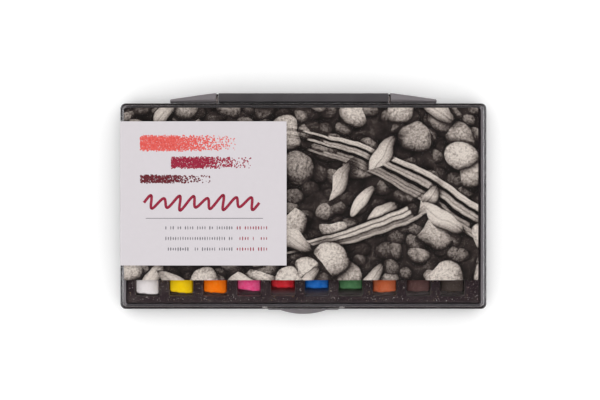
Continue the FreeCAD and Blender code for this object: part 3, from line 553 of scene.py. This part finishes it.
def printed_card():
    """Coated board: a soft satin, warm black ink on the top face, bare pale board elsewhere. The
    picture is built up in layers from the back to the front, each a tone from 0 to 1."""
    material, tree = new_material("printed_card")
    coords = add(tree, "TexCoord").outputs
    flat = add(tree, "Mapping", {"Vector": coords["Object"], "Scale": (1 / MM, 1 / MM, 0.0)})
    sway = add(tree, "TexNoise", {"Vector": flat, "Scale": 1 / 22.0}).outputs["Color"]
    sway = add(tree, "VectorMath", (sway, (0.5, 0.5, 0.5)), operation="SUBTRACT")
    sway = add(tree, "VectorMath", {0: sway, "Scale": 9.0}, operation="SCALE")
    bent = add(tree, "VectorMath", (flat, sway), operation="ADD")
    grain = add(tree, "TexNoise", {"Vector": flat, "Scale": 1 / 1.1, "Detail": 5.0,
                                   "Roughness": 0.7})
    tone = add(tree, "TexNoise", {"Vector": bent, "Scale": 1 / 7.0, "Detail": 4.0})
    tone = add(tree, "MapRange", (tone, 0.35, 0.75, 0.03, 0.2))

    def scatter(tone, number, spacing, turn, size, share, dim, bright, rib):
        """Rounded or leaf-shaped things, one in each cell of a jittered grid, lit from the upper
        left, each casting a soft shadow on what lies under it."""
        shift = (number * 17.3, number * 5.9, 0)
        turned = (0, 0, math.radians(turn))
        cells = add(tree, "Mapping", {"Vector": bent, "Rotation": turned, "Location": shift})
        cells = add(tree, "VectorMath", (cells, (1 / spacing[0], 1 / spacing[1], 1)),
                    operation="MULTIPLY")
        motif = add(tree, "TexVoronoi", {"Vector": cells, "Scale": 1.0, "Randomness": 0.8},
                    voronoi_dimensions="2D").outputs
        chance = add(tree, "SeparateColor", {"Color": motif["Color"]}).outputs
        offset = add(tree, "VectorMath", (cells, motif["Position"]), operation="SUBTRACT")
        offset = add(tree, "SeparateXYZ", {0: offset}).outputs
        reach = add(tree, "MapRange", (chance["Blue"], 0, 1, 0.7, 1.0))
        reach = add(tree, "Math", (size, reach), operation="MULTIPLY")
        out = add(tree, "Math", (motif["Distance"], reach), operation="DIVIDE")
        dome = add(tree, "Math", (out, 2.6), operation="POWER")
        dome = add(tree, "Math", (1.0, dome), operation="SUBTRACT")
        dome = add(tree, "Math", (offset["Y"], 1.0, dome), operation="MULTIPLY_ADD")
        dome = add(tree, "Math", (offset["X"], -0.7, dome), operation="MULTIPLY_ADD")
        level = add(tree, "MapRange", (chance["Green"], 0.0, 1.0, dim, bright))
        lit = add(tree, "Math", (dome, 0.75, 0.3), operation="MULTIPLY_ADD")
        lit = add(tree, "Math", (lit, level), operation="MULTIPLY")
        if rib:                              # a midrib and fine veins along the leaf
            vein = add(tree, "Math", (offset["Y"],), operation="ABSOLUTE")
            vein = add(tree, "MapRange", (vein, 0.0, 0.05, 0.62, 1.0))
            lit = add(tree, "Math", (lit, vein), operation="MULTIPLY")
            streak = add(tree, "VectorMath", (cells, (2.0, 22.0, 1)), operation="MULTIPLY")
            skin = add(tree, "TexNoise", {"Vector": streak, "Scale": 1.0})
            skin = add(tree, "MapRange", (skin, 0.35, 0.65, 0.8, 1.1))
        else:                                # mottled stone
            skin = add(tree, "TexNoise", {"Vector": bent, "Scale": 1 / 1.5, "Detail": 4.0,
                                          "Roughness": 0.65})
            skin = add(tree, "MapRange", (skin, 0.35, 0.68, 0.45, 1.2))
        lit = add(tree, "Math", (lit, skin), operation="MULTIPLY", use_clamp=True)
        seen = add(tree, "Math", (chance["Red"], share), operation="LESS_THAN")
        cover = add(tree, "MapRange", (out, 0.93, 1.0, 1.0, 0.0))
        cover = add(tree, "Math", (seen, cover), operation="MULTIPLY")
        shade = add(tree, "MapRange", (out, 1.0, 1.45, 0.2, 1.0))
        shade = add(tree, "Mix", {"Factor": seen, "A": 1.0, "B": shade})
        under = add(tree, "Math", (tone, shade), operation="MULTIPLY")
        return add(tree, "Mix", {"Factor": cover, "A": under, "B": lit})

    def bundle(tone, middle, turn, length, width, bow, flare, seed):
        """A bowed sheaf of reeds that flares to one end, each reed with its own tone and length."""
        turned = (0, 0, math.radians(turn))
        local = add(tree, "Mapping", {"Vector": flat, "Location": (*middle, 0), "Rotation": turned},
                    vector_type="TEXTURE")
        spot = add(tree, "SeparateXYZ", {0: local}).outputs
        along = spot["X"]
        across = add(tree, "Math", (along, along), operation="MULTIPLY")
        across = add(tree, "Math", (across, bow / 1000, spot["Y"]), operation="MULTIPLY_ADD")
        spread = add(tree, "Math", (along, flare / 100, 1.0), operation="MULTIPLY_ADD")
        across = add(tree, "Math", (across, spread), operation="DIVIDE")
        wander = add(tree, "VectorMath", (local, (0.05, 0.02, 0)), operation="MULTIPLY")
        wander = add(tree, "TexNoise", {"Vector": wander, "Scale": 1.0})
        wander = add(tree, "Math", (wander, 0.5), operation="SUBTRACT")
        across = add(tree, "Math", (wander, 5.0, across), operation="MULTIPLY_ADD")
        reed = add(tree, "Math", (across, seed * 31.0), operation="ADD")
        reed = add(tree, "TexVoronoi", {"W": reed, "Scale": 1 / 2.3, "Randomness": 0.9},
                   voronoi_dimensions="1D").outputs
        chance = add(tree, "SeparateColor", {"Color": reed["Color"]}).outputs
        rounded = add(tree, "Math", (reed["Distance"], 2.1), operation="MULTIPLY")
        rounded = add(tree, "Math", (rounded, 2.0), operation="POWER")
        rounded = add(tree, "Math", (1.0, rounded), operation="SUBTRACT")
        lit = add(tree, "Math", (rounded, 0.8, 0.1), operation="MULTIPLY_ADD")
        level = add(tree, "MapRange", (chance["Green"], 0.0, 1.0, 0.3, 1.0))
        lit = add(tree, "Math", (lit, level), operation="MULTIPLY")
        fibre = add(tree, "VectorMath", (local, (0.12, 1.6, 0)), operation="MULTIPLY")
        fibre = add(tree, "TexNoise", {"Vector": fibre, "Scale": 1.0, "Detail": 3.0})
        fibre = add(tree, "MapRange", (fibre, 0.35, 0.65, 0.7, 1.15))
        lit = add(tree, "Math", (lit, fibre), operation="MULTIPLY", use_clamp=True)
        end = add(tree, "Math", (along,), operation="ABSOLUTE")
        reach = add(tree, "MapRange", (chance["Red"], 0.0, 1.0, 0.6 * length / 2, length / 2))
        end = add(tree, "Math", (end, reach), operation="DIVIDE")
        side = add(tree, "Math", (across,), operation="ABSOLUTE")
        side = add(tree, "Math", (side, width / 2), operation="DIVIDE")
        out = add(tree, "Math", (end, side), operation="MAXIMUM")
        cover = add(tree, "MapRange", (out, 0.97, 1.0, 1.0, 0.0))
        shade = add(tree, "MapRange", (out, 1.0, 1.25, 0.25, 1.0))
        under = add(tree, "Math", (tone, shade), operation="MULTIPLY")
        return add(tree, "Mix", {"Factor": cover, "A": under, "B": lit})

    # number, cell spacing along and across in mm, turn in degrees, size and share of the things,
    # dimmest and brightest tone, ribbed or not
    tone = scatter(tone, 0, (9.0, 8.0), 15, 0.62, 0.85, 0.10, 0.45, False)
    tone = scatter(tone, 1, (19.0, 17.0), 40, 0.54, 0.55, 0.35, 1.0, False)
    tone = bundle(tone, (58.0, 14.0), -28, 130.0, 15.0, 2.2, 0.35, 1)
    tone = scatter(tone, 2, (26.0, 11.0), -52, 0.50, 0.22, 0.60, 1.0, True)
    tone = bundle(tone, (28.0, -17.0), 17, 96.0, 9.0, -2.6, 0.5, 2)
    tone = scatter(tone, 3, (22.0, 20.0), 5, 0.50, 0.28, 0.70, 1.1, False)
    tone = scatter(tone, 4, (34.0, 13.0), 33, 0.47, 0.16, 0.70, 1.0, True)
    grain = add(tree, "MapRange", (grain, 0.3, 0.7, 0.6, 1.4))
    tone = add(tree, "Math", (tone, grain), operation="MULTIPLY")
    spot = add(tree, "SeparateXYZ", {0: flat}).outputs       # darker to the upper left
    fall = add(tree, "Math", (spot["X"], spot["Y"]), operation="SUBTRACT")
    fall = add(tree, "MapRange", (fall, -60.0, 120.0, 0.95, 1.15))
    tone = add(tree, "Math", (tone, fall), operation="MULTIPLY")
    ink = add(tree, "ValToRGB", (tone,))
    set_stops(ink, (0.0, "#120d0c"), (0.12, "#3a302d"), (0.36, "#968b83"), (0.68, "#cdc1b7"),
              (1.0, "#e8ddd2"))
    facing = add(tree, "SeparateXYZ", {0: coords["Normal"]}).outputs
    top = add(tree, "Math", (facing["Z"], 0.7), operation="GREATER_THAN")
    colour = add(tree, "MixRGB", (top, linear_colour("#dcd8cf"), ink))
    shader = add(tree, "BsdfPrincipled", {"Base Color": colour, "Roughness": 0.35,
                                          "Specular IOR Level": 0.25})
    add(tree, "OutputMaterial", (shader,))
    return material


dress("picture_card", printed_card())


# ---------------------------------------------------------------- label
# A white self-adhesive polypropylene film with square-cut corners. It is stuck to the lid's top,
# folded over its left edge and stuck part of the way down the skirt.

def label_film():
    """White matt film with a faint orange-peel from the adhesive."""
    material, tree = new_material("white_label_film")
    place = add(tree, "TexCoord").outputs["Object"]
    peel = add(tree, "TexNoise", {"Vector": place, "Scale": 1 / (3.0 * MM)})
    bump = add(tree, "Bump", {"Height": peel, "Strength": 0.15, "Distance": 0.05 * MM})
    colour = set_stops(add(tree, "ValToRGB", (peel,)), (0.0, "#d9d3d7"), (1.0, "#ddd7db"))
    shader = add(tree, "BsdfPrincipled", {"Base Color": colour, "Roughness": 0.42,
                                          "Specular IOR Level": 0.4, "Normal": bump})
    add(tree, "OutputMaterial", (shader,))
    return material


LABEL_BEND, LABEL_FILM = 0.94 * MM, 0.12 * MM       # radius round the lid's edge, thickness
FOLD_STEPS = 8


def folded_film(name, low, high, bend, film, material):
    """A flat film with square-cut corners, folded down over an edge on its left: its section,
    drawn in X and Z, pulled along Y."""
    outline = [(low.x, low.z)]
    turns = range(FOLD_STEPS + 1)
    for radius, steps in ((bend, turns), (bend - film, reversed(turns))):
        for step in steps:
            angle = math.pi - step / FOLD_STEPS * math.pi / 2
            outline.append((low.x + bend + radius * math.cos(angle),
                            high.z - bend + radius * math.sin(angle)))
        if radius == bend:
            outline += [(high.x, high.z), (high.x, high.z - film)]
    outline.append((low.x + film, low.z))
    mesh = bmesh.new()
    near, far = ([mesh.verts.new((x, y, z)) for x, z in outline] for y in (low.y, high.y))
    for index in range(len(outline)):
        after = (index + 1) % len(outline)
        mesh.faces.new((near[index], far[index], far[after], near[after]))
    mesh.faces.new(near)
    mesh.faces.new(far[::-1])
    bmesh.ops.recalc_face_normals(mesh, faces=mesh.faces)
    return mesh_piece(name, mesh, material, smooth=False)


label = folded_film("label_film", *(Vector(c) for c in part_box("label")), LABEL_BEND, LABEL_FILM,
                    label_film())
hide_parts("label")
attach(label, "lid")


# ---------------------------------------------------------------- label print
# Screen-printed ink on the film: three chalk strokes, a rippled ribbon, a rule and rows of small
# ticks. It is a plain pattern in the sticks' own colours, and stands 0.03 mm proud of the film.

LABEL_TOP = 22.14 * MM
INK_THICKNESS = 0.03 * MM


def printed_ink(name, light, dark):
    """Opaque matt ink, a little uneven where the screen laid it thick or thin."""
    material, tree = new_material(name)
    place = add(tree, "TexCoord").outputs["Object"]
    lay = add(tree, "TexNoise", {"Vector": place, "Scale": 1 / (1.1 * MM), "Detail": 4.0,
                                 "Roughness": 0.7})
    colour = set_stops(add(tree, "ValToRGB", (lay,)), (0.35, dark), (0.65, light))
    shader = add(tree, "BsdfPrincipled", {"Base Color": colour, "Roughness": 0.5,
                                          "Specular IOR Level": 0.3})
    add(tree, "OutputMaterial", (shader,))
    return material


def stroke_tree():
    """A chalk stroke: flat grains crowded along its middle, thinning out to its edges and end."""
    tree, given = geometry_tree("chalk_stroke", Length="Float", Width="Float", Grain="Float",
                                Per_square_metre="Float", Place="Vector", Seed="Int",
                                Finish="Material")
    field = add(tree, "GeometryNodeMeshGrid", {"Size X": given["Length"], "Size Y": given["Width"],
                                               "Vertices X": 90, "Vertices Y": 16})
    spot = add(tree, "SeparateXYZ", {0: add(tree, "GeometryNodeInputPosition")}).outputs
    along = add(tree, "Math", (spot["X"], given["Length"]), operation="DIVIDE")
    across = add(tree, "Math", (spot["Y"], given["Width"]), operation="DIVIDE")
    across = add(tree, "Math", (across,), operation="ABSOLUTE")
    fade = add(tree, "MapRange", (along, -0.15, 0.5, 1.0, 0.10))
    rim = add(tree, "MapRange", (across, 0.36, 0.5, 1.0, 0.15))
    tooth = add(tree, "TexNoise", {"Scale": 620.0, "Detail": 3.0, "W": given["Seed"]},
                noise_dimensions="4D")
    tooth = add(tree, "MapRange", (tooth, 0.4, 0.62, 0.05, 1.0))
    solid = add(tree, "Math", (fade, 2.2), operation="POWER")
    cover = add(tree, "Mix", {"Factor": solid, "A": tooth, "B": 1.0})
    density = fade
    for share in (rim, cover, given["Per square metre"]):
        density = add(tree, "Math", (density, share), operation="MULTIPLY")
    points = add(tree, "GeometryNodeDistributePointsOnFaces", {"Mesh": field, "Density": density,
                                                               "Seed": given["Seed"]})
    grain = add(tree, "GeometryNodeMeshCylinder", {"Vertices": 5, "Radius": 1.0, "Depth": 1.0})
    width = add(tree, "FunctionNodeRandomValue", {2: 0.5, 3: 1.2, "Seed": 5})
    width = add(tree, "Math", (width.outputs[1], given["Grain"]), operation="MULTIPLY")
    height = add(tree, "FunctionNodeRandomValue", {2: 0.4 * INK_THICKNESS, 3: INK_THICKNESS,
                                                   "Seed": 9})
    shape = add(tree, "CombineXYZ", {"X": width, "Y": width, "Z": height.outputs[1]})
    turn = add(tree, "FunctionNodeRandomValue", {0: (0, 0, 0), 1: (0, 0, 6.28)},
               data_type="FLOAT_VECTOR")
    grains = add(tree, "GeometryNodeInstanceOnPoints", {"Points": points, "Instance": grain,
                                                        "Rotation": turn, "Scale": shape})
    placed = add(tree, "GeometryNodeTransform", {"Geometry": grains, "Translation": given["Place"]})
    close_tree(tree, placed, given["Finish"])
    return tree


def ribbon_tree():
    """A flat ribbon along X that ripples, swells on each rise and tapers at its ends."""
    tree, given = geometry_tree("rippled_ribbon", Start="Vector", End="Vector", Waves="Float",
                                Height="Float", Width="Float", Swell="Float", Finish="Material")
    line = add(tree, "GeometryNodeCurvePrimitiveLine", {"Start": given["Start"],
                                                        "End": given["End"]})
    line = add(tree, "GeometryNodeResampleCurve", {"Curve": line, "Count": 320})
    along = add(tree, "GeometryNodeSplineParameter")
    phase = add(tree, "Math", (along, given["Waves"]), operation="MULTIPLY")
    phase = add(tree, "Math", (phase, 2 * math.pi), operation="MULTIPLY")
    uneven = add(tree, "Math", (phase, 0.37), operation="MULTIPLY")
    uneven = add(tree, "Math", (uneven,), operation="COSINE")
    uneven = add(tree, "MapRange", (uneven, -1.0, 1.0, 0.55, 1.0))
    lift = add(tree, "Math", (phase,), operation="SINE")
    for share in (uneven, given["Height"]):
        lift = add(tree, "Math", (lift, share), operation="MULTIPLY")
    lean = add(tree, "Math", (lift, 0.45), operation="MULTIPLY")
    move = add(tree, "CombineXYZ", {"X": lean, "Y": lift})
    line = add(tree, "GeometryNodeSetPosition", {"Geometry": line, "Offset": move})
    line = add(tree, "GeometryNodeSetCurveNormal", {"Curve": line}, mode="Z_UP")
    swell = add(tree, "Math", (phase,), operation="COSINE")
    swell = add(tree, "Math", (swell, given["Swell"], 1.0), operation="MULTIPLY_ADD")
    end = add(tree, "Math", (along, 0.5), operation="SUBTRACT")
    end = add(tree, "Math", (end,), operation="ABSOLUTE")
    end = add(tree, "MapRange", (end, 0.40, 0.5, 1.0, 0.15))
    swell = add(tree, "Math", (swell, end), operation="MULTIPLY")
    line = add(tree, "GeometryNodeSetCurveRadius", {"Curve": line, "Radius": swell})
    profile = add(tree, "GeometryNodeCurvePrimitiveQuadrilateral", {"Width": given["Width"],
                                                                    "Height": INK_THICKNESS})
    ribbon = add(tree, "GeometryNodeCurveToMesh", {"Curve": line, "Profile Curve": profile,
                                                   "Fill Caps": True})
    close_tree(tree, ribbon, given["Finish"])
    return tree


def tick_tree():
    """Rows of small upright ticks, uneven in height, with gaps left out at random."""
    tree, given = geometry_tree("tick_rows", Length="Float", Rise="Float", Columns="Int",
                                Rows="Int", Tick="Vector", Kept="Float", Place="Vector",
                                Seed="Int", Finish="Material")
    field = add(tree, "GeometryNodeMeshGrid", {"Size X": given["Length"], "Size Y": given["Rise"],
                                               "Vertices X": given["Columns"],
                                               "Vertices Y": given["Rows"]})
    kept = add(tree, "FunctionNodeRandomValue", {"Probability": given["Kept"],
                                                 "Seed": given["Seed"]}, data_type="BOOLEAN")
    tick = add(tree, "GeometryNodeMeshCylinder", {"Vertices": 10, "Radius": 0.5, "Depth": 1.0})
    uneven = add(tree, "FunctionNodeRandomValue", {0: (0.7, 0.62, 1.0), 1: (1.2, 1.0, 1.0),
                                                   "Seed": 2}, data_type="FLOAT_VECTOR")
    shape = add(tree, "VectorMath", (uneven, given["Tick"]), operation="MULTIPLY")
    ticks = add(tree, "GeometryNodeInstanceOnPoints", {
        "Points": field, "Selection": kept.outputs[3], "Instance": tick, "Scale": shape})
    placed = add(tree, "GeometryNodeTransform", {"Geometry": ticks, "Translation": given["Place"]})
    close_tree(tree, placed, given["Finish"])
    return tree


coral_ink = printed_ink("coral_ink", "#ef6b62", "#dc4a44")
crimson_ink = printed_ink("crimson_ink", "#a8203f", "#941936")
maroon_ink = printed_ink("maroon_ink", "#7a2430", "#5e1c26")
grey_ink = printed_ink("grey_ink", "#716e75", "#66636a")
ink_middle = LABEL_TOP + INK_THICKNESS / 2
stroke, ribbon, ticks = stroke_tree(), ribbon_tree(), tick_tree()


def on_label(x, y):
    """A place on the label, half the ink's thickness above the film; x and y in millimetres."""
    return x * MM, y * MM, ink_middle


prints = []
for name, ink, middle, length, width, seed in (
        ("stroke_coral", coral_ink, (-63.0, 33.0), 52.0, 8.6, 4),
        ("stroke_crimson", crimson_ink, (-50.0, 22.4), 44.0, 6.4, 8),
        ("stroke_maroon", maroon_ink, (-70.0, 13.4), 38.0, 4.6, 15)):
    prints.append(grow(name, stroke, {
        "Length": length * MM, "Width": width * MM, "Grain": 0.42 * MM,
        "Per square metre": 7.5e6, "Place": on_label(*middle), "Seed": seed, "Finish": ink}))
for name, ink, start, end, waves, height, width, swell in (
        ("ribbon_crimson", crimson_ink, (-87.0, 0.5), (-24.0, 0.5), 8.0, 4.2, 1.5, 0.55),
        ("rule_grey", grey_ink, (-86.0, -8.0), (-22.0, -8.0), 0.0, 0.0, 0.3, 0.0)):
    prints.append(grow(name, ribbon, {
        "Start": on_label(*start), "End": on_label(*end), "Waves": waves,
        "Height": height * MM, "Width": width * MM, "Swell": swell, "Finish": ink}))
for name, ink, middle, length, columns, seed in (
        ("ticks_grey", grey_ink, (-57.0, -19.0), 36.0, 28, 1),
        ("ticks_crimson", crimson_ink, (-28.0, -19.0), 16.0, 12, 6)):
    prints.append(grow(name, ticks, {
        "Length": length * MM, "Rise": 11.6 * MM, "Columns": columns, "Rows": 3,
        "Tick": (0.55 * MM, 2.3 * MM, INK_THICKNESS), "Kept": 0.84,
        "Place": on_label(*middle), "Seed": seed, "Finish": ink}))
for printed in prints:
    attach(printed, "lid")


# ---------------------------------------------------------------- floor, light and camera
# A white table under a soft studio dome, with a long softbox at each side. The dome is dim
# overhead, and in mirrors towards front and back, so that the clear lid mirrors little of it. The
# table's own occlusion deepens its shadow, for what is seen of it and not for the light it gives.

TABLE_HALF = 4.0
SHADOW_REACH = 7 * MM        # of the deepened shadow
HORIZON = 0.35               # below this height the lid shows plain white behind it
SOFTBOX_ASIDE, SOFTBOX_HEIGHT, SOFTBOX_TILT = 1.0, 0.42, 67
CAMERA_PLACE = (-1.79 * MM, 2.0 * MM, 922 * MM)

floor_mesh = bpy.data.meshes.new("floor")
floor_mesh.from_pydata([(x * TABLE_HALF, y * TABLE_HALF, 0)
                        for x, y in ((-1, -1), (1, -1), (1, 1), (-1, 1))], [], [(0, 1, 2, 3)])
floor = bpy.data.objects.new("floor", floor_mesh)
bpy.context.scene.collection.objects.link(floor)
material, tree = new_material("white_table")
rays = add(tree, "LightPath").outputs
seen = add(tree, "Math", (rays["Is Camera Ray"], rays["Is Glossy Ray"]), operation="MAXIMUM")
seen = add(tree, "Math", (seen, rays["Is Transmission Ray"]), operation="MAXIMUM")
plain = add(tree, "BsdfDiffuse", {"Color": (0.8, 0.8, 0.8, 1)})
openness = add(tree, "AmbientOcclusion", {"Distance": SHADOW_REACH}).outputs["AO"]
openness = add(tree, "MapRange", (openness, 0.5, 1.0, 0.98, 1.16))
bright = add(tree, "BsdfDiffuse", {"Color": openness})
shader = add(tree, "MixShader", {0: seen, 1: plain, 2: bright})
add(tree, "OutputMaterial", (shader,))
floor_mesh.materials.append(material)

world = bpy.data.worlds.new("studio")
bpy.context.scene.world = world
world.use_nodes = True
tree = world.node_tree
tree.nodes.clear()
direction = add(tree, "TexCoord").outputs["Generated"]
height = add(tree, "SeparateXYZ", {0: direction}).outputs
rays = add(tree, "LightPath").outputs
dome = add(tree, "ValToRGB", (height["Z"],))
set_stops(dome, (0.0, 0.45), (0.3, 0.8), (0.7, 1.15), (0.965, 1.25), (0.985, 0.07), (1.0, 0.055))
sideways = add(tree, "Math", (height["X"], height["X"]), operation="MULTIPLY")
mirrored = add(tree, "MapRange", (sideways, 0.0, 0.5, 0.12, 1.0))
mirrored = add(tree, "Mix", {"Factor": rays["Is Glossy Ray"], "A": 1.0, "B": mirrored})
dome = add(tree, "VectorMath", {0: dome, "Scale": mirrored}, operation="SCALE")
low = add(tree, "Math", (height["Z"], HORIZON), operation="LESS_THAN")
through = add(tree, "Math", (low, rays["Is Transmission Ray"]), operation="MULTIPLY")
seen = add(tree, "Math", (rays["Is Camera Ray"], through), operation="MAXIMUM")
colour = add(tree, "MixRGB", (seen, dome, (1, 1, 1, 1)))
backdrop = add(tree, "Background", {"Color": colour, "Strength": 1.0})
add(tree, "OutputWorld", {"Surface": backdrop})

for side in (-1, 1):
    lamp = bpy.data.lights.new("softbox", "AREA")
    lamp.shape, lamp.size, lamp.size_y = "RECTANGLE", 0.14, 0.5
    lamp.energy = 1.6
    softbox = bpy.data.objects.new("softbox", lamp)
    softbox.location = (side * SOFTBOX_ASIDE, 0, SOFTBOX_HEIGHT)
    softbox.rotation_euler = (0, side * math.radians(SOFTBOX_TILT), 0)
    softbox.visible_diffuse = False
    bpy.context.scene.collection.objects.link(softbox)

camera_data = bpy.data.cameras.new("camera")
camera_data.lens, camera_data.sensor_width = 98.9, 36.0
camera_data.clip_start = 0.01
camera = bpy.data.objects.new("camera", camera_data)
camera.location = CAMERA_PLACE
bpy.context.scene.collection.objects.link(camera)
bpy.context.scene.camera = camera
bpy.context.scene.view_settings.view_transform = "Standard"
